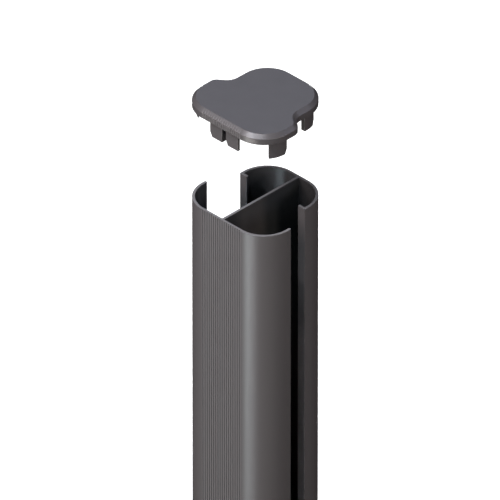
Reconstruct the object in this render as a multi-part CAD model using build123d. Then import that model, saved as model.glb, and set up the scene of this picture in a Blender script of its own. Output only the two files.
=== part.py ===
from build123d import *
import os

# Metal fence post in millimetres: an aluminium extrusion that takes the ends of
# the fence boards in an open slot down each side, and the moulded plastic cap
# that plugs into its top, here lifted off straight above it.
# X runs across the ribbed front, Y from that front to the back, Z up the post.
# The origin is on the ground, in the middle of the post's section.

# Extrusion: lengths and walls
post_length = 1050.0
wall = 2.0
web_thickness = 2.0

# Extrusion: the front half is wider than the back half, and each half is a
# flat face between two round corners that run on into short straight flanks
front_flat = 36.0
front_corner_radius = 22.0
front_flank = 3.3
back_flat = 16.2
back_corner_radius = 22.2
back_flank = 3.7

# Extrusion: the slot between the halves, and the lips that edge it at the back
slot_opening = 22.2
lip_length = 6.6
free_edge_radius = min(0.7, 0.4 * wall)
root_radius = 0.5

# Fine ribs on the front flat, left standing between round-bottomed grooves
rib_pitch = 2.0
groove_radius = 0.6
groove_depth = 0.35

# Cap: a plate with a plain edge, a 45 degree bevel and a hollow underside
cap_lift = 72.2
cap_edge_height = 4.4
cap_bevel = 2.7
cap_skin = 2.5

# Cap: the shoulders that narrow its outline from the front half to the back half
shoulder_middle_y = 35.6
shoulder_length = 7.4
shoulder_outer_radius = 7.5
shoulder_inner_radius = 7.8

# Cap: the legs that slip down inside the extrusion
leg_length = 12.5
leg_thickness = 2.0
leg_clearance = 0.2
lead_in_width = 1.8
lead_in_height = 4.0
outer_lead_in_width = 1.5
centre_leg_width = 11.2
plain_leg_web_gap = 1.3
web_return = 5.0
lip_return = 3.5
corner_leg_setback = 1.8
front_leg_angle = 36.0
back_leg_angle = 27.0

# Places that follow from the sizes above, with Y counted from the ribbed face
front_half_width = front_flat / 2 + front_corner_radius
back_half_width = back_flat / 2 + back_corner_radius
tip_y = front_corner_radius + front_flank
lip_y = tip_y + slot_opening
post_depth = lip_y + back_flank + back_corner_radius
leg_inset = wall + leg_clearance
cap_height = cap_edge_height + cap_bevel
pocket_depth = cap_height - cap_skin
centre_on_y = Pos(0, -post_depth / 2)


def nearest(shapes, x, y, z=0.0):
    """The corner, edge or face whose middle lies nearest to a place."""
    return min(shapes, key=lambda shape: (shape.center() - Vector(x, y, z)).length)


def around(centre, radius, angle):
    """The point at a radius and an angle, in degrees from the X axis, about a centre."""
    point = Vector(*centre) + Vector(radius, 0).rotate(Axis.Z, angle)
    return point.X, point.Y


def round_corners(section, places, radius):
    """Round the corners of a flat section that lie at the given places."""
    return fillet([nearest(section.vertices(), *place) for place in places], radius)


def trough(flat, corner_radius, flank):
    """Section of one half of the post: an even wall, flat and closed at Y = 0."""
    outer_size = (flat + 2 * corner_radius, corner_radius + flank)
    inner_size = (outer_size[0] - 2 * wall, outer_size[1] - wall)
    outer = Rectangle(*outer_size, align=(Align.CENTER, Align.MIN))
    outer = fillet(outer.vertices().group_by(Axis.Y)[0], corner_radius)
    inner = Pos(0, wall) * Rectangle(*inner_size, align=(Align.CENTER, Align.MIN))
    inner = fillet(inner.vertices().group_by(Axis.Y)[0], corner_radius - wall)
    return outer - inner


def groove_pattern():
    """Sections of the grooves across the front flat, as many as it has room for."""
    groove = Pos(0, groove_depth - groove_radius) * Circle(groove_radius)
    places = GridLocations(rib_pitch, 0, int(front_flat / rib_pitch), 1)
    return Sketch() + [place * groove for place in places]


def post_section():
    """Section of the extrusion: two halves back to back on a centre web."""
    front = trough(front_flat, front_corner_radius, front_flank)
    back = Pos(0, post_depth) * mirror(trough(back_flat, back_corner_radius, back_flank), about=Plane.XZ)
    web = Pos(0, post_depth / 2) * Rectangle(web_thickness, post_depth - wall)
    section = front + back + web
    for side in (-1, 1):
        lip_middle = side * (back_half_width - lip_length / 2)
        section += Pos(lip_middle, lip_y + wall / 2) * Rectangle(lip_length, wall)

    for side in (-1, 1):
        free_edges = [
            (side * front_half_width, tip_y),
            (side * (front_half_width - wall), tip_y),
            (side * back_half_width, lip_y),
            (side * (back_half_width - lip_length), lip_y),
            (side * (back_half_width - lip_length), lip_y + wall),
        ]
        roots = [
            (side * web_thickness / 2, wall),
            (side * web_thickness / 2, post_depth - wall),
            (side * (back_half_width - wall), lip_y + wall),
        ]
        section = round_corners(section, free_edges, free_edge_radius)
        section = round_corners(section, roots, root_radius)
    return section - groove_pattern()


def cap_outline():
    """Outline of the cap: the post's own outline, with each slot bridged by a sloping shoulder."""
    front_shoulder = (front_half_width, shoulder_middle_y - shoulder_length / 2)
    back_shoulder = (back_half_width, shoulder_middle_y + shoulder_length / 2)
    front_corner = (front_half_width, 0)
    back_corner = (back_half_width, post_depth)
    right = [front_corner, front_shoulder, back_shoulder, back_corner]
    left = [(-x, y) for x, y in reversed(right)]
    outline = Sketch() + Polygon(*right, *left, align=None)
    for side in (-1, 1):
        for (x, y), radius in (
            (front_corner, front_corner_radius),
            (front_shoulder, shoulder_outer_radius),
            (back_shoulder, shoulder_inner_radius),
            (back_corner, back_corner_radius),
        ):
            outline = round_corners(outline, [(side * x, y)], radius)
    return outline


def cap_plate(outline):
    """The cap without its legs: bevelled on top, ribbed in front, hollow below."""
    plate = extrude(outline, cap_height)
    plate = chamfer(plate.faces().sort_by(Axis.Z)[-1].edges(), cap_bevel)
    plate -= extrude(groove_pattern(), cap_height)
    pocket = offset(outline, -(leg_inset + leg_thickness))
    return plate - extrude(pocket, pocket_depth)


def leg(section, *lead_at, width=lead_in_width):
    """A leg from the hollow's roof down to its foot, with a lead-in cut at the given foot edges."""
    solid = Pos(0, 0, -leg_length) * extrude(section, leg_length + pocket_depth)
    foot = solid.faces().sort_by(Axis.Z)[0]
    edges = [nearest(foot.edges(), *place, -leg_length) for place in lead_at]
    return chamfer(edges, width, lead_in_height, reference=foot)


def centre_leg(inner_end, side):
    """Section of a flat leg behind the ribbed wall, beside the web, with its lead-in on the left."""
    middle = side * (inner_end + centre_leg_width / 2)
    plate = Pos(middle, leg_inset + leg_thickness / 2) * Rectangle(centre_leg_width, leg_thickness)
    return plate, (middle - centre_leg_width / 2, leg_inset + leg_thickness / 2)


def keyed_centre_leg():
    """The left centre leg, with a return that bears on the web."""
    web_face = web_thickness / 2 + leg_clearance
    plate, lead_at = centre_leg(web_face, -1)
    fin_place = Pos(-(web_face + leg_thickness / 2), leg_inset + web_return / 2)
    section = plate + fin_place * Rectangle(leg_thickness, web_return)
    return leg(round_corners(section, [(-web_face, leg_inset)], root_radius), lead_at)


def plain_centre_leg():
    """The right centre leg, a plain tongue."""
    section, lead_at = centre_leg(web_thickness / 2 + plain_leg_web_gap, 1)
    return leg(section, lead_at)


def front_corner_leg(ring, lead_outside):
    """Curved leg inside the front corner; its lead-in is on its outer face or at its flank end."""
    centre = (front_flat / 2, front_corner_radius)
    end_y = tip_y - corner_leg_setback
    reach = 3 * front_corner_radius
    window = Polygon(
        centre,
        around(centre, reach, -front_leg_angle),
        (centre[0] + reach, end_y),
        (centre[0], end_y),
        align=None,
    )
    outer_x = front_half_width - leg_inset
    if lead_outside:
        on_arc = around(centre, front_corner_radius - leg_inset, -front_leg_angle / 2)
        on_flank = (outer_x, (front_corner_radius + end_y) / 2)
        return leg(ring & window, on_arc, on_flank, width=outer_lead_in_width)
    return leg(ring & window, (outer_x - leg_thickness / 2, end_y))


def back_corner_leg(ring):
    """Leg that hooks behind the lip and follows the start of the back corner."""
    centre = (back_flat / 2, lip_y + back_flank)
    start_y = lip_y + leg_inset
    outer_x = back_half_width - leg_inset
    reach = 3 * back_corner_radius
    window = Polygon(
        centre,
        (centre[0], start_y),
        (centre[0] + reach, start_y),
        around(centre, reach, back_leg_angle),
        align=None,
    )
    hook_place = Pos(outer_x - lip_return / 2, start_y + leg_thickness / 2)
    section = (ring & window) + hook_place * Rectangle(lip_return, leg_thickness)
    section = round_corners(section, [(outer_x, start_y)], root_radius)
    middle_radius = back_corner_radius - leg_inset - leg_thickness / 2
    return leg(section, around(centre, middle_radius, back_leg_angle))


def post_profile():
    """The extrusion, cut square at both ends and standing on the ground."""
    return extrude(centre_on_y * post_section(), post_length)


def top_cap():
    """The cap with its six legs, in its place above the post."""
    outline = cap_outline()
    ring = offset(outline, -leg_inset) - offset(outline, -(leg_inset + leg_thickness))
    cap = cap_plate(outline) + keyed_centre_leg() + plain_centre_leg()
    cap += front_corner_leg(ring, lead_outside=False)
    cap += mirror(front_corner_leg(ring, lead_outside=True), about=Plane.YZ)
    cap += back_corner_leg(ring)
    cap += mirror(back_corner_leg(ring), about=Plane.YZ)
    return Pos(0, 0, post_length + cap_lift) * centre_on_y * cap


os.makedirs("parts", exist_ok=True)
for name, solid in (("post_profile", post_profile()), ("top_cap", top_cap())):
    export_step(solid, f"parts/{name}.step")
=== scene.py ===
# %% [markdown]
# # A metal fence post with its cap lifted off
# The post is one aluminium extrusion, pushed through a die and sawn to length, so its section is the
# same all the way up. The cap is one plastic moulding that plugs into the sawn end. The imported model
# already holds both at their real size. This lesson makes a finer mesh of each in the same place,
# gives them their two finishes, and sets them in a plain studio.

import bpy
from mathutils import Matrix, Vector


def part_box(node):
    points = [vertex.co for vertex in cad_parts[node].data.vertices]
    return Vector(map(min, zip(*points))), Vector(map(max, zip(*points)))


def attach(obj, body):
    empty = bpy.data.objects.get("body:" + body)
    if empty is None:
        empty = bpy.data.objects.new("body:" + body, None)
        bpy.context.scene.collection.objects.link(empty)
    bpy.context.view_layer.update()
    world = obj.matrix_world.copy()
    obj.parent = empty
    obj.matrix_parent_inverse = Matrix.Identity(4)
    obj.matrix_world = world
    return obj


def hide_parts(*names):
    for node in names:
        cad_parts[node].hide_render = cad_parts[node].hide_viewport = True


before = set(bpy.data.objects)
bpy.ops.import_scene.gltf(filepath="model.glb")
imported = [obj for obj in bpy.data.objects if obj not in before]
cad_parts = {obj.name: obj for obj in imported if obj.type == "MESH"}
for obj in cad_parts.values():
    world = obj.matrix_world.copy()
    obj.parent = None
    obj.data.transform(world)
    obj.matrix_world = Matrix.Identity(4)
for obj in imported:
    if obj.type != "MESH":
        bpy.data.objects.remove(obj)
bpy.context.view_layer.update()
print("pieces in the packed model:", sorted(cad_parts))

# %% Tools of the lesson
import math

import bmesh
import bpy
from mathutils import Vector

MM = 0.001
scene = bpy.context.scene
print("Blender", bpy.app.version_string)

# %% [markdown]
# ## The camera
# The photograph looks down on a corner of the post, and its upright edges stay parallel to the last
# pixel. An ordinary lens close by would make them converge. A very long lens far away keeps them
# as good as parallel: over the whole picture they close in by half a pixel. The distance follows
# from the width that the picture takes in at the post.

# %% Camera
LENS_LENGTH = 1600.0
SENSOR_WIDTH = 36.0
CLIP_END = 100.0
PICTURE_WIDTH = 329.38
CAMERA_BEARING = math.radians(-45.0)
CAMERA_ELEVATION = math.radians(34.34)
CAMERA_TARGET = Vector((0.04, -9.82, 1013.16)) * MM


def toward(bearing, elevation):
    """The direction at a bearing from the X axis and at a height above the horizon."""
    level = math.cos(elevation)
    return Vector((math.cos(bearing) * level, math.sin(bearing) * level, math.sin(elevation)))


def studio_camera():
    """A camera so far off that its picture is as good as parallel."""
    lens = bpy.data.cameras.new("camera")
    lens.lens = LENS_LENGTH
    lens.sensor_width = SENSOR_WIDTH
    lens.clip_end = CLIP_END
    distance = PICTURE_WIDTH * MM * LENS_LENGTH / SENSOR_WIDTH
    camera = bpy.data.objects.new("camera", lens)
    scene.collection.objects.link(camera)
    back = toward(CAMERA_BEARING, CAMERA_ELEVATION)
    camera.location = CAMERA_TARGET + back * distance
    camera.rotation_euler = back.to_track_quat("Z", "Y").to_euler()
    print(f"camera {distance:.1f} m away")
    return camera


scene.camera = studio_camera()

# %% [markdown]
# ## The sizes
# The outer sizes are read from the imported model. The rest are the sizes that a die maker would need:
# walls, radii and the slot. X runs across the ribbed front and Y from that front to the back. While
# an outline is being drawn, Y is counted from the ribbed face.

# %% Sizes in millimetres
post_low, post_high = (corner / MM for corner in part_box("post_profile"))
cap_foot_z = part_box("top_cap")[0].z / MM
post_length = post_high.z - post_low.z
post_depth = post_high.y - post_low.y
front_half_width = post_high.x
back_half_width = 30.3

wall = 2.0
web_thickness = 2.0
front_corner_radius = 22.0
front_flank = 3.3
back_corner_radius = 22.2
back_flank = 3.7
slot_opening = 22.2
lip_length = 6.6
free_edge_radius = 0.7
root_radius = 0.5
rib_pitch = 2.0
groove_radius = 0.6
groove_depth = 0.35

half_flat = front_half_width - front_corner_radius
tip_y = front_corner_radius + front_flank
lip_y = tip_y + slot_opening
print(f"post {2 * front_half_width:.1f} x {post_depth:.1f} x {post_length:.0f} mm")

# %% [markdown]
# ## Outlines with rounded corners
# Every outline here is a few corners, each with its own radius. An arc is drawn with just enough
# facets that none strays visibly from the true curve, so a large corner gets many and a small edge
# gets a few. The outward direction is kept with each point, because it can later move a whole
# outline in or out by an even distance.

# %% Arcs and rounded corners
ARC_ERROR = 0.004


def arc(centre, radius, start, turn):
    """Points along an arc from a start angle, each with the direction away from the centre."""
    steps = max(1, math.ceil(abs(turn) / (2 * math.acos(1 - ARC_ERROR / radius))))
    angles = [start + turn * i / steps for i in range(steps + 1)]
    directions = [Vector((math.cos(angle), math.sin(angle))) for angle in angles]
    return [(centre + direction * radius, direction) for direction in directions]


def rounded_corner(before, corner, after, radius):
    """A corner of a path that runs anticlockwise, rounded: points with their outward directions."""
    arriving = (corner - before).normalized()
    leaving = (after - corner).normalized()
    turn = math.atan2(arriving.cross(leaving), arriving.dot(leaving))
    outward = Vector((arriving.y, -arriving.x)) * math.copysign(1, turn)
    start = corner - arriving * radius * math.tan(abs(turn) / 2)
    points = arc(start - outward * radius, radius, math.atan2(outward.y, outward.x), turn)
    return [(point, direction * math.copysign(1, turn)) for point, direction in points]


def rounded_path(start, corners, end):
    """The rounded corners, given as (x, y, radius), of a path from start to end."""
    places = [Vector(start)] + [Vector(corner[:2]) for corner in corners] + [Vector(end)]
    path = []
    for i, corner in enumerate(corners):
        path += rounded_corner(*places[i:i + 3], corner[2])
    return path


def mirrored(corners):
    """The same corners on the left, in the order that keeps the path anticlockwise."""
    return [(-x, y, radius) for x, y, radius in reversed(corners)]


def around_the_back(right_corners):
    """The outline from the right end of the ribbed flat, round the back, to its left end."""
    return rounded_path((0, 0), right_corners + mirrored(right_corners), (0, 0))


def in_metres(x, y, z):
    """A place in the model's frame, from millimetres with Y counted from the ribbed face."""
    return Vector((x, y - post_depth / 2, z)) * MM


print("facets round a front corner:", len(arc(Vector((0, 0)), front_corner_radius, 0, math.pi / 2)) - 1)

# %% [markdown]
# ## The section of the post
# The path goes once round the metal on the right: round the front corner, over the free edge of the
# slot, back inside to the web, along it into the rear chamber, round the lip and out over the rear
# corner. The left side is its mirror image. The ribbed flat is left open, because Geometry Nodes
# will close it.

# %% Section of the post
web_face = web_thickness / 2
lip_end = back_half_width - lip_length
post_outline = around_the_back([
    (front_half_width, 0, front_corner_radius),
    (front_half_width, tip_y, free_edge_radius),
    (front_half_width - wall, tip_y, free_edge_radius),
    (front_half_width - wall, wall, front_corner_radius - wall),
    (web_face, wall, root_radius),
    (web_face, post_depth - wall, root_radius),
    (back_half_width - wall, post_depth - wall, back_corner_radius - wall),
    (back_half_width - wall, lip_y + wall, root_radius),
    (lip_end, lip_y + wall, free_edge_radius),
    (lip_end, lip_y, free_edge_radius),
    (back_half_width, lip_y, free_edge_radius),
    (back_half_width, post_depth, back_corner_radius),
])
print("points in the post's outline:", len(post_outline))

# %% [markdown]
# ## Building node trees in code
# Geometry Nodes and materials are both made of nodes, so one small helper serves both. It adds a
# node, makes its settings, and fills each input with either a plain value or a link.

# %% Node helpers
def add_node(tree, kind, inputs=None, **settings):
    """A new node. An input's key is its name or number, and its value a number or an output."""
    node = tree.nodes.new(kind)
    for setting, value in settings.items():
        setattr(node, setting, value)
    for key, value in (inputs or {}).items():
        if isinstance(value, bpy.types.NodeSocket):
            tree.links.new(value, node.inputs[key])
        else:
            node.inputs[key].default_value = value
    return node


def calculate(tree, operation, *values):
    """The output of a Math node."""
    return add_node(tree, "ShaderNodeMath", dict(enumerate(values)), operation=operation).outputs[0]


def place(tree, x=0.0, y=0.0, z=0.0):
    """The output of a node that puts three numbers together into a vector."""
    return add_node(tree, "ShaderNodeCombineXYZ", {"X": x, "Y": y, "Z": z}).outputs[0]


def parts_of(tree, vector):
    """The three outputs, named X, Y and Z, of a node that takes a vector apart."""
    return add_node(tree, "ShaderNodeSeparateXYZ", {0: vector}).outputs


def joined(tree, *parts):
    """The output of a Join Geometry node."""
    node = tree.nodes.new("GeometryNodeJoinGeometry")
    for part in parts:
        tree.links.new(part, node.inputs[0])
    return node.outputs[0]


# %% [markdown]
# ## The ribbed extrusion
# On the real post the die forms eighteen fine grooves in the front flat, and the ribs are what is left
# between them. They could be modelled one by one, but they follow a rule: one groove, repeated at an
# even pitch. So a Geometry Nodes tree draws one pitch of the outline, puts a copy on each point of a
# line, and welds them into the rest of the outline. Then it does what the press does: it fills the
# section and pushes it out to length.

# %% Tree, first part: one pitch of the ribs, repeated
GROOVE_POINTS = 11
WELD = 0.001 * MM


def one_pitch(tree, size):
    """Half a land, a round-bottomed groove and half a land, as edges centred on the origin."""
    flatness = calculate(tree, "DIVIDE", size["Groove depth"], size["Groove radius"])
    half_angle = calculate(tree, "ARCCOSINE", calculate(tree, "SUBTRACT", 1.0, flatness))
    groove = add_node(tree, "GeometryNodeCurveArc", {
        "Resolution": GROOVE_POINTS,
        "Radius": size["Groove radius"],
        "Start Angle": calculate(tree, "SUBTRACT", math.pi / 2, half_angle),
        "Sweep Angle": calculate(tree, "MULTIPLY", 2.0, half_angle),
    }, mode="RADIUS")
    centre_y = calculate(tree, "SUBTRACT", size["Groove depth"], size["Groove radius"])
    groove = add_node(tree, "GeometryNodeTransform", {
        "Geometry": groove.outputs["Curve"],
        "Translation": place(tree, y=centre_y),
    })
    mouth = calculate(tree, "MULTIPLY", size["Groove radius"], calculate(tree, "SINE", half_angle))
    lands = []
    for side in (-1.0, 1.0):
        lands.append(add_node(tree, "GeometryNodeCurvePrimitiveLine", {
            "Start": place(tree, x=calculate(tree, "MULTIPLY", mouth, side)),
            "End": place(tree, x=calculate(tree, "MULTIPLY", size["Rib pitch"], side / 2)),
        }).outputs[0])
    pitch = joined(tree, groove.outputs[0], *lands)
    return add_node(tree, "GeometryNodeCurveToMesh", {"Curve": pitch}).outputs[0]


def ribbed_flat(tree, size, outline):
    """The ribs in outline, on the foremost line of the section."""
    front = add_node(tree, "GeometryNodeBoundBox", {"Geometry": outline})
    front_y = parts_of(tree, front.outputs["Min"])["Y"]
    pitches = calculate(tree, "DIVIDE", size["Ribbed width"], size["Rib pitch"])
    half_row = calculate(tree, "MULTIPLY", calculate(tree, "SUBTRACT", pitches, 1.0), -0.5)
    first_x = calculate(tree, "MULTIPLY", half_row, size["Rib pitch"])
    points = add_node(tree, "GeometryNodeMeshLine", {
        "Count": calculate(tree, "ROUND", pitches),
        "Start Location": place(tree, x=first_x, y=front_y),
        "Offset": place(tree, x=size["Rib pitch"]),
    })
    copies = add_node(tree, "GeometryNodeInstanceOnPoints", {
        "Points": points.outputs[0],
        "Instance": one_pitch(tree, size),
    })
    return add_node(tree, "GeometryNodeRealizeInstances", {0: copies.outputs[0]}).outputs[0]


# %% Tree, second part: fill the section and push it out to length
def extruded(tree, outline, length):
    """A closed bar with the outline as its section, standing on Z = 0."""
    welded = add_node(tree, "GeometryNodeMergeByDistance", {"Geometry": outline, "Distance": WELD})
    loop = add_node(tree, "GeometryNodeMeshToCurve", {"Mesh": welded.outputs[0]})
    section = add_node(tree, "GeometryNodeFillCurve", {"Curve": loop.outputs[0]}, mode="NGONS")
    bar = add_node(tree, "GeometryNodeExtrudeMesh", {
        "Mesh": section.outputs[0],
        "Offset": place(tree, z=length),
        "Individual": False,
    })
    foot = add_node(tree, "GeometryNodeFlipFaces", {"Mesh": section.outputs[0]})
    whole = joined(tree, bar.outputs["Mesh"], foot.outputs[0])
    return add_node(tree, "GeometryNodeMergeByDistance", {"Geometry": whole, "Distance": WELD}).outputs[0]


# %% [markdown]
# Shading treats the bar's edges in three ways. The facets of a round corner meet at small angles and
# should look like one smooth surface. Where a groove meets a land the real edge is crisp, so it stays
# sharp. The saw's edges at the two ends are square, and a light deburring rounds them. The angle
# between two faces tells which edge is which, and the tree leaves a bevel weight on the sawn ones.

# %% Tree, third part: mark the edges
SMOOTH_LIMIT = math.radians(35.0)
SAWN_EDGE = math.radians(80.0)


def edges_marked(tree, bar):
    """Creases stay sharp where the groove meets the land, and the sawn edges are marked to be eased."""
    angle = tree.nodes.new("GeometryNodeInputMeshEdgeAngle").outputs["Unsigned Angle"]
    sawn = calculate(tree, "GREATER_THAN", angle, SAWN_EDGE)
    crease = calculate(tree, "SUBTRACT", calculate(tree, "GREATER_THAN", angle, SMOOTH_LIMIT), sawn)
    creased = add_node(tree, "GeometryNodeSetShadeSmooth", {
        "Geometry": bar,
        "Selection": crease,
        "Shade Smooth": False,
    }, domain="EDGE")
    return add_node(tree, "GeometryNodeStoreNamedAttribute", {
        "Geometry": creased.outputs[0],
        "Name": "bevel_weight_edge",
        "Value": sawn,
    }, data_type="FLOAT", domain="EDGE").outputs[0]


# %% Put the tree together
post_sizes = {
    "Length": post_length,
    "Ribbed width": 2 * half_flat,
    "Rib pitch": rib_pitch,
    "Groove radius": groove_radius,
    "Groove depth": groove_depth,
}


def ribbed_extrusion(material):
    """The whole tree, from the open outline to the finished bar."""
    tree = bpy.data.node_groups.new("ribbed_extrusion", "GeometryNodeTree")
    tree.interface.new_socket("Geometry", in_out="INPUT", socket_type="NodeSocketGeometry")
    tree.interface.new_socket("Geometry", in_out="OUTPUT", socket_type="NodeSocketGeometry")
    for name in post_sizes:
        tree.interface.new_socket(name, in_out="INPUT", socket_type="NodeSocketFloat")
    size = tree.nodes.new("NodeGroupInput").outputs
    outline = joined(tree, size["Geometry"], ribbed_flat(tree, size, size["Geometry"]))
    bar = edges_marked(tree, extruded(tree, outline, size["Length"]))
    plain = add_node(tree, "GeometryNodeRealizeInstances", {0: bar})
    finish = add_node(tree, "GeometryNodeSetMaterial", {
        "Geometry": plain.outputs[0],
        "Material": material,
    })
    add_node(tree, "NodeGroupOutput", {"Geometry": finish.outputs[0]})
    print(f"{tree.name}: {len(tree.nodes)} nodes")
    return tree


print("inputs of the tree, in millimetres:", post_sizes)

# %% [markdown]
# ## Turning a construction into a plain mesh
# A tree, a bevel and a boolean are recipes, and an export wants the result. Blender can work out the
# finished object and copy it into a plain mesh. Weighted normals go on last: they let the large flat
# faces keep their own shading, so that only the small rounded edges turn the light.

# %% Baking a piece
EASED_EDGE = 0.2
CM3_PER_M3 = 1e6


def piece_from(name, mesh):
    """A new object in the scene that holds the mesh."""
    piece = bpy.data.objects.new(name, mesh)
    scene.collection.objects.link(piece)
    return piece


def baked(source, name):
    """The finished shape of an object with modifiers, as a plain mesh in a new object.

    The new object takes the old one's place in the scene."""
    bpy.context.view_layer.update()
    evaluated = source.evaluated_get(bpy.context.evaluated_depsgraph_get())
    mesh = bpy.data.meshes.new_from_object(evaluated)
    mesh.name = name
    bpy.data.objects.remove(source)
    return piece_from(name, mesh)


def wholly(piece, material):
    """The piece with that material alone."""
    piece.data.materials.clear()
    piece.data.materials.append(material)
    return piece


def volume(mesh):
    """The volume that a mesh encloses, in cubic centimetres, and how many of its edges are open."""
    shell = bmesh.new()
    shell.from_mesh(mesh)
    enclosed = shell.calc_volume(signed=True)
    open_edges = sum(not edge.is_manifold for edge in shell.edges)
    shell.free()
    return enclosed * CM3_PER_M3, open_edges


# %% [markdown]
# ## The post
# The tree works on any outline that is left open in front. Here it gets the post's outline as loose
# edges, and the sizes, each on the input of its name. The bevel for the sawn edges comes after it.

# %% The post
def outline_mesh(name, outline):
    """An outline in the XY plane as edges, with Y moved so that the section is centred."""
    points = [in_metres(x, y, 0) for (x, y), _ in outline]
    mesh = bpy.data.meshes.new(name)
    mesh.from_pydata(points, [(i, i + 1) for i in range(len(points) - 1)], [])
    return mesh


def make_post(material):
    """The extrusion: the tree makes the bar, and a fine bevel eases its sawn edges."""
    source = piece_from("post_outline", outline_mesh("post_outline", post_outline))
    tree = ribbed_extrusion(material)
    press = source.modifiers.new("press", "NODES")
    press.node_group = tree
    for item in tree.interface.items_tree:
        if item.name in post_sizes:
            press[item.identifier] = post_sizes[item.name] * MM
    easing = source.modifiers.new("easing", "BEVEL")
    easing.limit_method = "WEIGHT"
    easing.width = EASED_EDGE * MM
    easing.segments = 3
    easing.use_clamp_overlap = False
    source.modifiers.new("shading", "WEIGHTED_NORMAL").keep_sharp = True
    return wholly(baked(source, "post_extrusion"), material)


# %% [markdown]
# ## The cap's plate
# The cap is a shallow plastic lid: a plain edge with the same ribs in front, a 45 degree bevel, a
# flat top, and a hollow underneath that leaves a thin skin. Its outline is the post's own, except that
# a sloping shoulder closes each slot. Such a form is a stack of rings. Each ring is the same outline,
# moved inwards by some inset and lifted to some height, and the insets and heights are themselves a
# small path with rounded corners. The hollow's wall stops a hair short of the legs' inner faces,
# because a boolean does badly with two faces in one plane.

# %% Sizes of the cap
leg_length = 12.5
leg_thickness = 2.0
leg_clearance = 0.2
edge_height = 4.4
bevel = 2.7
cap_skin = 2.5
shoulder_middle_y = 35.6
shoulder_length = 7.4
shoulder_outer_radius = 7.5
shoulder_inner_radius = 7.8
underside_z = cap_foot_z + leg_length
top_height = edge_height + bevel
roof_height = top_height - cap_skin
leg_inset = wall + leg_clearance
boolean_gap = 0.05
hollow_inset = leg_inset + leg_thickness - boolean_gap

cap_outline = around_the_back([
    (front_half_width, 0, front_corner_radius),
    (front_half_width, shoulder_middle_y - shoulder_length / 2, shoulder_outer_radius),
    (back_half_width, shoulder_middle_y + shoulder_length / 2, shoulder_inner_radius),
    (back_half_width, post_depth, back_corner_radius),
])
print("points in the cap's outline:", len(cap_outline))

# %% The cap's rings
BEVEL_SOFTNESS = 0.5
LOWER_SOFTNESS = 0.25


def rib_points():
    """The ribbed flat from left to right: points on its face and how deep the groove is at each."""
    half_angle = math.acos(1 - groove_depth / groove_radius)
    points = []
    for groove in range(round(2 * half_flat / rib_pitch)):
        middle = (groove + 0.5) * rib_pitch - half_flat
        for i in range(GROOVE_POINTS):
            angle = half_angle * (2 * i / (GROOVE_POINTS - 1) - 1)
            depth = groove_radius * (math.cos(angle) - 1) + groove_depth
            points.append((Vector((middle + groove_radius * math.sin(angle), 0)), max(0, depth)))
    return points


def ring(inset, height):
    """The cap's outline moved inwards and lifted. A groove stays until the inset passes its depth."""
    around = [point - outward * inset for point, outward in cap_outline]
    across = [Vector((point.x, max(inset, depth))) for point, depth in rib_points()]
    return [in_metres(x, y, underside_z + height) for x, y in around + across]


def plate_profile():
    """Insets and heights from the hollow's roof, down, out round the edge and up to the flat top."""
    roof = (hollow_inset, roof_height)
    path = rounded_path(roof, [
        (hollow_inset, 0, LOWER_SOFTNESS),
        (0, 0, LOWER_SOFTNESS),
        (0, edge_height, BEVEL_SOFTNESS),
        (bevel, top_height, BEVEL_SOFTNESS),
    ], (post_depth / 2, top_height))
    return [roof] + [tuple(point) for point, _ in path]


print("rings in the plate:", len(plate_profile()))

# %% [markdown]
# All rings have the same number of points, so the skin between two of them is a row of four-sided
# faces. The first ring closes the hollow's roof and the last one is the flat top.

# %% Skin over the rings
def ring_stack(rings, name):
    """A closed mesh through rings of equal length, with a flat face over the first and the last."""
    shell = bmesh.new()
    layers = [[shell.verts.new(point) for point in points] for points in rings]
    for lower, upper in zip(layers, layers[1:]):
        for i, corner in enumerate(lower):
            shell.faces.new((lower[i - 1], corner, upper[i], upper[i - 1]))
    shell.faces.new(reversed(layers[0]))
    shell.faces.new(layers[-1])
    bmesh.ops.recalc_face_normals(shell, faces=shell.faces)
    mesh = bpy.data.meshes.new(name)
    shell.to_mesh(mesh)
    shell.free()
    return mesh


# %% [markdown]
# ## The cap's legs
# Six thin legs hang from the roof of the hollow and spring against the inside of the extrusion. Each
# is an upright wall that follows a path in plan, with a sloping lead-in so that it finds its way in.
# On five legs the slope is cut across one lower corner, at the path's start, and on the front left one
# it runs along the outer face. Two paths turn a corner: one leg keeps a fin against the web, and the
# rear legs hook behind the lips.

# %% Walls that follow a path
LEAD_IN_WIDTH = 1.8
LEAD_IN_HEIGHT = 4.0
OUTER_LEAD_IN_WIDTH = 1.5
CLEAR_OF_LEAD_IN = 1.05 * LEAD_IN_WIDTH
LEG_LAP = 0.8


def along(path, distance):
    """The point and the outward direction at a distance along a path."""
    for (start, start_out), (end, end_out) in zip(path, path[1:]):
        length = (end - start).length
        if distance <= length:
            return start.lerp(end, distance / length), start_out.lerp(end_out, distance / length)
        distance -= length
    return path[-1]


def foot_stations(path):
    """Distances along the path where the leg gets a column, and the foot's rise at each."""
    stations = [(0.0, LEAD_IN_HEIGHT), (LEAD_IN_WIDTH, 0.0)]
    reached = 0.0
    for (start, _), (end, _) in zip(path, path[1:]):
        reached += (end - start).length
        if reached > CLEAR_OF_LEAD_IN:
            stations.append((reached, 0.0))
    return stations


def column(middle, outward, section):
    """One cut across a leg, from pairs of an offset towards the outside and a height."""
    places = [(middle + outward * offset, height) for offset, height in section]
    return [in_metres(x, y, underside_z + height) for (x, y), height in places]


def corner_lead_shell(path):
    """A wall along a path, down from the hollow's roof, with its lead-in at the path's start."""
    half, top = leg_thickness / 2, roof_height + LEG_LAP
    columns = []
    for distance, rise in foot_stations(path):
        foot = rise - leg_length
        section = [(half, foot), (half, top), (-half, top), (-half, foot)]
        columns.append(column(*along(path, distance), section))
    return columns


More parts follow.
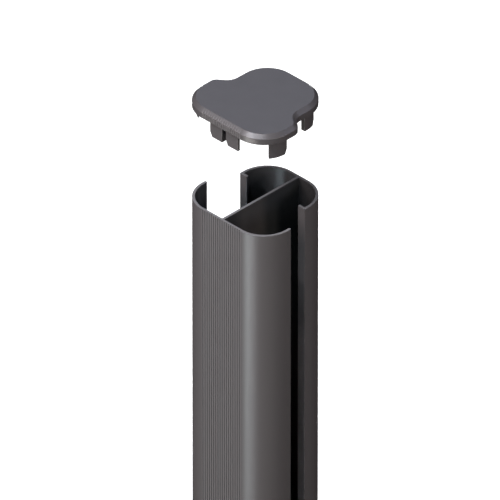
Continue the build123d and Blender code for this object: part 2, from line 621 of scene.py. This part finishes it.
def outer_lead_shell(path):
    """A wall along a path, down from the hollow's roof, with its lead-in all along its outer face."""
    half, top = leg_thickness / 2, roof_height + LEG_LAP
    section = [
        (half, LEAD_IN_HEIGHT - leg_length),
        (half, top),
        (-half, top),
        (-half, -leg_length),
        (half - OUTER_LEAD_IN_WIDTH, -leg_length),
    ]
    return [column(*step, section) for step in path]


# %% [markdown]
# The paths follow the inside of the extrusion, with a clearance of 0.2 mm. They are made from the same
# few sizes as the post's outline, so a change of wall or radius moves the legs too. A left leg is its
# right partner's path mirrored, but for the two in the middle, which differ on the real cap.

# %% The six paths
centre_leg_width = 11.2
plain_leg_gap = 1.3
web_return = 5.0
lip_return = 3.5
corner_leg_setback = 1.8
front_leg_angle = math.radians(36.0)
back_leg_angle = math.radians(27.0)
leg_line = leg_inset + leg_thickness / 2


def straight(*places):
    """A path through square corners, each point with its outward direction, mitred at a corner."""
    places = [Vector(place) for place in places]
    runs = [(end - start).normalized() for start, end in zip(places, places[1:])]
    sides = [Vector((run.y, -run.x)) for run in runs]
    mitres = [(one + other) * 2 / (one + other).length_squared for one, other in zip(sides, sides[1:])]
    return list(zip(places, [sides[0], *mitres, sides[-1]]))


def turned_over(path):
    """The same path with its outward side on the other hand."""
    return [(point, -outward) for point, outward in path]


def mirror_path(path):
    """The same path on the left half of the cap."""
    flip = Vector((-1, 1))
    return [(point * flip, outward * flip) for point, outward in path]


def leg_shells():
    """The six legs as stacks of columns."""
    keyed_end = web_face + leg_clearance
    keyed_leg = straight(
        (-keyed_end - centre_leg_width, leg_line),
        (-keyed_end - leg_thickness / 2, leg_line),
        (-keyed_end - leg_thickness / 2, leg_inset + web_return),
    )
    plain_start = web_face + plain_leg_gap
    plain_leg = straight((plain_start, leg_line), (plain_start + centre_leg_width, leg_line))

    front_centre = Vector((half_flat, front_corner_radius))
    front_radius = front_corner_radius - leg_line
    flank_x = front_half_width - leg_line
    front_leg = [(Vector((flank_x, tip_y - corner_leg_setback)), Vector((1, 0)))]
    front_leg += arc(front_centre, front_radius, 0, -front_leg_angle)

    back_centre = Vector((back_half_width - back_corner_radius, lip_y + back_flank))
    back_radius = back_corner_radius - leg_line
    hook_x = back_half_width - leg_line
    hook_y = lip_y + leg_line
    hook = turned_over(straight(
        (hook_x, hook_y + leg_thickness),
        (hook_x, hook_y),
        (back_half_width - leg_inset - lip_return, hook_y),
    ))
    sweep = [step for step in arc(back_centre, back_radius, back_leg_angle, -back_leg_angle)
             if step[0].y > hook_y + leg_thickness]
    back_leg = sweep + hook[1:]
    paths = [keyed_leg, plain_leg, front_leg, back_leg, mirror_path(back_leg)]
    return [corner_lead_shell(path) for path in paths] + [outer_lead_shell(mirror_path(front_leg))]


cap_legs = leg_shells()
print("columns in each leg:", [len(columns) for columns in cap_legs])

# %% [markdown]
# The cap is one moulding, so its legs have to be one closed mesh with the plate. Each leg gets its
# edges eased first, while it is still a simple solid, and a boolean then fuses it to the plate.

# %% Legs joined to the plate
LEG_EASING = 0.2
LEG_EDGE = math.radians(50)


def make_leg(columns):
    """One leg with its sharp edges eased."""
    leg = piece_from("leg", ring_stack(columns, "leg"))
    easing = leg.modifiers.new("easing", "BEVEL")
    easing.limit_method = "ANGLE"
    easing.angle_limit = LEG_EDGE
    easing.width = LEG_EASING * MM
    easing.segments = 2
    return baked(leg, "leg")


def united(body, parts):
    """The body with the parts fused to it, as one closed mesh."""
    for part in parts:
        union = body.modifiers.new("union", "BOOLEAN")
        union.operation = "UNION"
        union.solver = "EXACT"
        union.object = part
    whole = baked(body, "moulded_cap")
    print(f"{whole.name}: {len(parts)} legs fused to the plate")
    for part in parts:
        bpy.data.objects.remove(part)
    return whole


def creases_marked(mesh):
    """Smooth shading everywhere, except across edges that turn more than the limit."""
    shell = bmesh.new()
    shell.from_mesh(mesh)
    for face in shell.faces:
        face.smooth = True
    for edge in shell.edges:
        edge.smooth = edge.calc_face_angle(math.pi) < SMOOTH_LIMIT
    shell.to_mesh(mesh)
    shell.free()


def make_cap(material):
    """The plate and its legs as one moulding."""
    rings = [ring(*step) for step in plate_profile()]
    plate = piece_from("cap_plate", ring_stack(rings, "cap_plate"))
    whole = united(plate, [make_leg(columns) for columns in cap_legs])
    creases_marked(whole.data)
    whole.modifiers.new("shading", "WEIGHTED_NORMAL").keep_sharp = True
    return wholly(baked(whole, "moulded_cap"), material)


# %% [markdown]
# ## The powder coat
# Anthracite powder is sprayed on and baked, which leaves a dull satin skin. From arm's length it is
# one even colour, and close by it has a faint orange peel. The chambers get a darker, bluer colour,
# which is painted shade inside the tube, and the level sawn ends get a lighter one, which is painted
# light from above. So the coat has three colours in one material, and the direction that a face looks
# in says which one it takes.

# %% Finish helpers
NOISE_LOW, NOISE_HIGH = 0.3, 0.7
MIX_SOCKETS = {"FLOAT": (2, 3, 0), "VECTOR": (4, 5, 1), "RGBA": (6, 7, 2)}


def new_finish(name, **shader_inputs):
    """A material with an empty tree but for its shader and output."""
    material = bpy.data.materials.new(name)
    material.use_nodes = True
    tree = material.node_tree
    tree.nodes.clear()
    shader = add_node(tree, "ShaderNodeBsdfPrincipled", shader_inputs)
    add_node(tree, "ShaderNodeOutputMaterial", {"Surface": shader.outputs[0]})
    return material, tree, shader


def place_on_piece(tree):
    """The output that says where on its piece a point lies."""
    return add_node(tree, "ShaderNodeTexCoord").outputs["Object"]


def facing(tree):
    """The output that says which way a face looks."""
    return add_node(tree, "ShaderNodeNewGeometry").outputs["True Normal"]


def noise(tree, grain, stretch=(1, 1, 1)):
    """Noise whose grains are about that many millimetres across, stretched along the axes."""
    mapping = add_node(tree, "ShaderNodeMapping", {
        "Vector": place_on_piece(tree),
        "Scale": [1 / factor for factor in stretch],
    })
    return add_node(tree, "ShaderNodeTexNoise", {
        "Vector": mapping.outputs[0],
        "Scale": 1 / (grain * MM),
    }).outputs["Fac"]


def between(tree, noise_value, low, high):
    """A number that goes from low to high over the range where most of the noise lies."""
    return add_node(tree, "ShaderNodeMapRange", {
        "Value": noise_value,
        "From Min": NOISE_LOW,
        "From Max": NOISE_HIGH,
        "To Min": low,
        "To Max": high,
    }).outputs[0]


def mixed(tree, kind, factor, first, second):
    """A mix of two numbers, vectors or colours: the Mix node has sockets of its own for each kind."""
    first_input, second_input, result = MIX_SOCKETS[kind]
    inputs = {0: factor, first_input: first, second_input: second}
    return add_node(tree, "ShaderNodeMix", inputs, data_type=kind).outputs[result]


def bumped(tree, height, depth):
    """A surface direction bent by a height map that is so many millimetres deep."""
    return add_node(tree, "ShaderNodeBump", {"Height": height, "Distance": depth * MM}).outputs[0]


# %% [markdown]
# Direction alone can't tell the inside of a tube from its outside, because both have faces that look
# every way. But a face on the inside looks towards the middle of its chamber. So the material takes
# the middle of the front or the back chamber, and asks whether the face looks that way.

# %% Which faces are inside
FRONT_CHAMBER = Vector((8.0, -16.0, 0.0)) * MM
BACK_CHAMBER = Vector((8.0, 20.0, 0.0)) * MM


def combined(tree, operation, *values):
    """The node of a Vector Math operation."""
    return add_node(tree, "ShaderNodeVectorMath", dict(enumerate(values)), operation=operation)


def on_the_inside(tree):
    """1 on the faces that look towards the middle of a chamber, and 0 on all others.

    The left half is folded on to the right one, so that two chambers stand for four."""
    spot, look = parts_of(tree, place_on_piece(tree)), parts_of(tree, facing(tree))
    folded_spot = place(tree, calculate(tree, "ABSOLUTE", spot["X"]), spot["Y"])
    folded_x = calculate(tree, "MULTIPLY", look["X"], calculate(tree, "SIGN", spot["X"]))
    folded_look = place(tree, folded_x, look["Y"])
    in_back = calculate(tree, "GREATER_THAN", spot["Y"], 0.0)
    chamber = mixed(tree, "VECTOR", in_back, FRONT_CHAMBER, BACK_CHAMBER)
    inward = combined(tree, "SUBTRACT", chamber, folded_spot).outputs["Vector"]
    agreement = combined(tree, "DOT_PRODUCT", inward, folded_look).outputs["Value"]
    return calculate(tree, "GREATER_THAN", agreement, 0.0)


# %% [markdown]
# The ribs show as clear light and dark lines, much clearer than their shape alone would make them.
# So both finishes get painted light on the lands and painted shade in the grooves, in colour and in
# gloss, and on the moulded cap it is fainter.

# %% Painted light and shade of the ribs
LAND_LIMIT = 0.03


def painted_rib_light_and_shade(tree, painted_land_light, painted_groove_shade):
    """A factor for colour and gloss: painted light on the lands, painted shade in the grooves, 1
    elsewhere.
    """
    spot = parts_of(tree, place_on_piece(tree))
    depth = calculate(tree, "ADD", spot["Y"], post_depth / 2 * MM)
    off_flat = calculate(tree, "GREATER_THAN", calculate(tree, "ABSOLUTE", spot["X"]), half_flat * MM)
    beyond = calculate(tree, "GREATER_THAN", depth, (groove_depth + LAND_LIMIT) * MM)
    ribbed = calculate(tree, "SUBTRACT", 1.0, calculate(tree, "MAXIMUM", off_flat, beyond))
    sunk = calculate(tree, "GREATER_THAN", depth, LAND_LIMIT * MM)
    return mixed(tree, "FLOAT", ribbed, 1.0, mixed(tree, "FLOAT", sunk, painted_land_light, painted_groove_shade))


def scaled(tree, colour, factor):
    """A colour made stronger or weaker."""
    node = combined(tree, "SCALE", colour)
    tree.links.new(factor, node.inputs["Scale"])
    return node.outputs["Vector"]


# %% [markdown]
# Now the coat itself. Broad noise, stretched along the post, gives it slow clouds of two close greys.
# A finer noise moves the roughness, and a very fine one is the orange peel. Brightness and gloss were
# matched to the photograph, place by place.

# %% Powder coat
COAT_DARK = (0.0575, 0.0525, 0.0547, 1)
COAT_LIGHT = (0.0610, 0.0555, 0.0577, 1)
COAT_CLOUDS, COAT_CLOUD_STRETCH = 60, (1, 1, 6)
COAT_SHEEN = (0.835, 0.88, 1, 1)
COAT_GLOSS = 0.468
COAT_ROUGHNESS = (0.37, 0.43)
COAT_PATCHES = 3
# Painted light on the ribs' lands and painted shade in their grooves, in colour and gloss
COAT_PAINTED_LAND_LIGHT, COAT_PAINTED_GROOVE_SHADE = 1.5, 0.62
ORANGE_PEEL, ORANGE_PEEL_DEPTH = 0.9, 0.008
# Painted shade: a darker, bluer colour on the faces inside the chambers
INSIDE_PAINTED_SHADE = (0.0243, 0.0233, 0.0252, 1)
INSIDE_SHEEN = (1, 1, 1, 1)
INSIDE_GLOSS = 0.62
INSIDE_ROUGHNESS = 0.38
# Painted light: a lighter colour on the level sawn ends, standing in for light from above
SAWN_END_PAINTED_LIGHT = (0.115, 0.108, 0.113, 1)
SAWN_END_GLOSS = 0.10
LEVEL_FACE = 0.9


def coat_colour(tree, shade, inside, sawn):
    """Slow clouds of two close greys, painted shade inside the chambers, and painted light on the sawn
    ends.
    """
    clouds = between(tree, noise(tree, COAT_CLOUDS, COAT_CLOUD_STRETCH), 0, 1)
    outside = mixed(tree, "RGBA", clouds, COAT_DARK, COAT_LIGHT)
    coat = scaled(tree, mixed(tree, "RGBA", inside, outside, INSIDE_PAINTED_SHADE), shade)
    return mixed(tree, "RGBA", sawn, coat, SAWN_END_PAINTED_LIGHT)


def coat_gloss(tree, shade, inside, sawn):
    """How strongly each part of the post shines."""
    outside = calculate(tree, "MULTIPLY", shade, COAT_GLOSS)
    coat = mixed(tree, "FLOAT", inside, outside, INSIDE_GLOSS)
    return mixed(tree, "FLOAT", sawn, coat, SAWN_END_GLOSS)


def powder_coat():
    """Satin anthracite powder coat, with painted shade inside the chambers and painted light on the sawn
    ends.
    """
    material, tree, shader = new_finish("powder_coat_anthracite")
    steepness = calculate(tree, "ABSOLUTE", parts_of(tree, facing(tree))["Z"])
    sawn = calculate(tree, "GREATER_THAN", steepness, LEVEL_FACE)
    inside = on_the_inside(tree)
    shade = painted_rib_light_and_shade(tree, COAT_PAINTED_LAND_LIGHT, COAT_PAINTED_GROOVE_SHADE)
    roughness = between(tree, noise(tree, COAT_PATCHES), *COAT_ROUGHNESS)
    for name, output in (
        ("Base Color", coat_colour(tree, shade, inside, sawn)),
        ("Specular Tint", mixed(tree, "RGBA", inside, COAT_SHEEN, INSIDE_SHEEN)),
        ("Specular IOR Level", coat_gloss(tree, shade, inside, sawn)),
        ("Roughness", mixed(tree, "FLOAT", inside, roughness, INSIDE_ROUGHNESS)),
        ("Normal", bumped(tree, noise(tree, ORANGE_PEEL), ORANGE_PEEL_DEPTH)),
    ):
        tree.links.new(output, shader.inputs[name])
    print(f"{material.name}: {len(tree.nodes)} nodes")
    return material


post = make_post(powder_coat())

# %% [markdown]
# ## The cap's plastic
# The cap is moulded in a tool whose steel was spark-eroded, so its skin has a fine even grain and no
# shine. The colour is in the plastic itself and hardly changes from place to place.

# %% Moulded plastic
PLASTIC_DARK = (0.0478, 0.0434, 0.0462, 1)
PLASTIC_LIGHT = (0.0510, 0.0464, 0.0494, 1)
PLASTIC_CLOUDS = 12
PLASTIC_SHEEN = (1, 0.935, 0.975, 1)
PLASTIC_GLOSS = 0.50
PLASTIC_ROUGHNESS = (0.36, 0.41)
# Painted light on the ribs' lands; the grooves keep the plain colour
PLASTIC_PAINTED_LAND_LIGHT, PLASTIC_IN_GROOVE = 1.25, 1.0
GRAIN, GRAIN_DEPTH = 0.5, 0.002


def cap_plastic():
    """Dull moulded plastic with a spark-eroded grain."""
    material, tree, shader = new_finish("cap_plastic_grey", **{"Specular Tint": PLASTIC_SHEEN})
    shade = painted_rib_light_and_shade(tree, PLASTIC_PAINTED_LAND_LIGHT, PLASTIC_IN_GROOVE)
    clouds = between(tree, noise(tree, PLASTIC_CLOUDS), 0, 1)
    plastic = mixed(tree, "RGBA", clouds, PLASTIC_DARK, PLASTIC_LIGHT)
    grain = noise(tree, GRAIN)
    for name, output in (
        ("Base Color", scaled(tree, plastic, shade)),
        ("Specular IOR Level", calculate(tree, "MULTIPLY", shade, PLASTIC_GLOSS)),
        ("Roughness", between(tree, grain, *PLASTIC_ROUGHNESS)),
        ("Normal", bumped(tree, grain, GRAIN_DEPTH)),
    ):
        tree.links.new(output, shader.inputs[name])
    print(f"{material.name}: {len(tree.nodes)} nodes")
    return material


cap = make_cap(cap_plastic())

# %% [markdown]
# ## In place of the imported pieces
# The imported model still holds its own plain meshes. Each new piece takes the place of one of them and
# rides on the one body there is. The volumes say whether the new shapes are true to the old ones.

# %% Put the two pieces in place
def take_place(piece, node):
    """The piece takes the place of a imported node, with its finish and its body."""
    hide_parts(node)
    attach(piece, "root")
    enclosed, open_edges = volume(piece.data)
    packed, _ = volume(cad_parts[node].data)
    print(f"{piece.name}: {len(piece.data.polygons)} faces, {open_edges} open edges, "
          f"{enclosed:.2f} cm3 against {packed:.2f} packed")


take_place(post, "post_profile")
take_place(cap, "top_cap")

# %% [markdown]
# ## The studio
# The photograph was taken before pure white, with no shadow in sight. Photographers get that from a
# sheet of white acrylic that is lit from below. Here a pale floor glows faintly in the same way, and a
# soft light of its own lifts the part that the camera sees behind the post. The post in the photograph
# doesn't mirror that white along its outline, so this floor sends no light to the post.

# %% Floor
FLOOR_HALF = 40.0
FLOOR_FINISH = {
    "Base Color": (0.9, 0.9, 0.9, 1),
    "Roughness": 0.9,
    "Specular IOR Level": 0.0,
    "Emission Color": (1, 1, 1, 1),
    "Emission Strength": 0.6,
}


def make_floor():
    """A plain pale floor."""
    material, _, _ = new_finish("floor", **FLOOR_FINISH)
    corners = [(x * FLOOR_HALF, y * FLOOR_HALF, 0) for x, y in ((-1, -1), (1, -1), (1, 1), (-1, 1))]
    mesh = bpy.data.meshes.new("floor")
    mesh.from_pydata(corners, [], [(0, 1, 2, 3)])
    mesh.materials.append(material)
    ground = piece_from("floor", mesh)
    ground.visible_diffuse = ground.visible_glossy = False
    print(f"floor {2 * FLOOR_HALF:.0f} m square")


make_floor()

# %% [markdown]
# ## The lights
# The photograph tells where its lights stood. A thin bright line runs down the round front corner, so
# something bright stands low before it. A sharp level shadow crosses the lip 62 mm below the sawn end,
# so a small light stands high on the left. The cap's top is even and cool, so wide lights stand high
# before and behind it. The flank on the right is lit softly from its own side. The slots are almost
# black, so nothing comes from all round, and the white surroundings are there for the camera alone.
# One more light, low behind the post, can't be seen in the photograph. It is for a look at the back.

# %% The soft lights
SUBJECT = Vector((0, 0, 1.0))
WHITE = (1, 1, 1)
SKY_BRIGHTNESS = 0.9
# Bearing and height above the horizon in degrees, distance and size in metres, watts, and colour
SOFTBOXES = {
    "key": (-105, 51.7, 1.5, 0.06, 9.6, (0.98, 0.99, 1)),
    "upper_left": (-102, 62, 1.5, 0.3, 10.6, (0.76, 0.94, 1)),
    "upper_front": (-75, 70, 1.5, 0.3, 9.7, (1, 0.87, 0.87)),
    "upper_right": (-60, 55, 1.5, 0.3, 3.7, (0.76, 0.95, 1)),
    "front": (-102, 22, 1.5, 0.6, 21.2, (1, 0.9, 0.85)),
    "low_front_left": (-102, -30, 1.5, 0.3, 6.5, (0.94, 1, 0.92)),
    "low_front_right": (-84, -30, 1.5, 0.3, 3.9, (1, 0.97, 0.9)),
    "right_front": (-60, 22, 1.5, 0.4, 5.3, (0.75, 0.92, 1)),
    "right_high": (-10, 20, 2.0, 0.5, 10.8, (1, 0.98, 0.86)),
    "right": (15, 0, 2.0, 0.5, 12.5, (1, 0.84, 0.72)),
    "right_rear": (35, 25, 2.0, 0.6, 8.8, (0.69, 0.77, 1)),
    "rear": (135, 45, 2.5, 1.2, 6.7, (0.7, 0.82, 1)),
    "rear_low": (135, -30, 1.5, 0.5, 14.0, WHITE),
}
BACKDROP_PLACE = Vector((-1.15, 1.15, 1.2))
BACKDROP_SIZE = 1.3
BACKDROP_POWER = 12.0


def softbox(name, size, power, colour, location, back, beam=math.pi):
    """A flat soft light at a place, shining away from its back, which is a direction."""
    lamp = bpy.data.lights.new(name, "AREA")
    lamp.shape = "RECTANGLE"
    lamp.size, lamp.size_y = size
    lamp.spread = beam
    lamp.energy = power
    lamp.color = colour
    light = bpy.data.objects.new(name, lamp)
    scene.collection.objects.link(light)
    light.location = location
    light.rotation_euler = back.to_track_quat("Z", "Y").to_euler()
    light.visible_camera = False


def pale_surroundings():
    """White all round, which only the camera sees. It lights nothing, so the slots stay dark."""
    world = bpy.data.worlds.new("studio")
    world.use_nodes = True
    sky = world.node_tree.nodes["Background"]
    sky.inputs["Color"].default_value = (*WHITE, 1)
    sky.inputs["Strength"].default_value = SKY_BRIGHTNESS
    seen_by = world.cycles_visibility
    seen_by.diffuse = seen_by.glossy = seen_by.transmission = seen_by.scatter = False
    scene.world = world


pale_surroundings()
for name, (bearing, elevation, distance, size, power, colour) in SOFTBOXES.items():
    back = toward(math.radians(bearing), math.radians(elevation))
    softbox(name, (size, size), power, colour, SUBJECT + back * distance, back)
upward = Vector((0, 0, 1))
softbox("backdrop", (BACKDROP_SIZE, BACKDROP_SIZE), BACKDROP_POWER, WHITE, BACKDROP_PLACE, upward)
print("soft lights:", len(SOFTBOXES) + 1)

# %% [markdown]
# Two things in the photograph can't come from lights outside the post. One bright streak lies deep
# inside the rear chamber, so a lamp no bigger than a thumbnail is hidden behind the front wall for it.
# And below its level shadow the lip stays evenly grey all the way down, so a thin strip lamp stands
# behind the front flank, with a narrow beam that keeps the rest of the slot dark.

# %% The two hidden lamps
GLOW_PLACE = Vector((-20, -29, 1000)) * MM
GLOW_AIM = Vector((-16, 33, 1036)) * MM
GLOW_SIZE = (10 * MM, 10 * MM)
GLOW_POWER = 0.0055
GLOW_COLOUR = (0.73, 0.9, 1)
STRIP_PLACE = Vector((34, -14, 480)) * MM
STRIP_AIM = Vector((27, 10.8, 480)) * MM
STRIP_SIZE = (2 * MM, 948 * MM)
STRIP_POWER = 0.008
STRIP_BEAM = math.radians(40)

softbox("inner_glow", GLOW_SIZE, GLOW_POWER, GLOW_COLOUR, GLOW_PLACE, GLOW_PLACE - GLOW_AIM)
softbox("slot_strip", STRIP_SIZE, STRIP_POWER, WHITE, STRIP_PLACE, STRIP_PLACE - STRIP_AIM, STRIP_BEAM)
print(f"the streak's lamp is {GLOW_SIZE[0] / MM:.0f} mm wide, the strip {STRIP_SIZE[1] / MM:.0f} mm long")

# %% [markdown]
# ## Colour
# The picture keeps the plain colour response of the photograph.

# %% Colour response
scene.view_settings.view_transform = "Standard"
print("view transform:", scene.view_settings.view_transform)
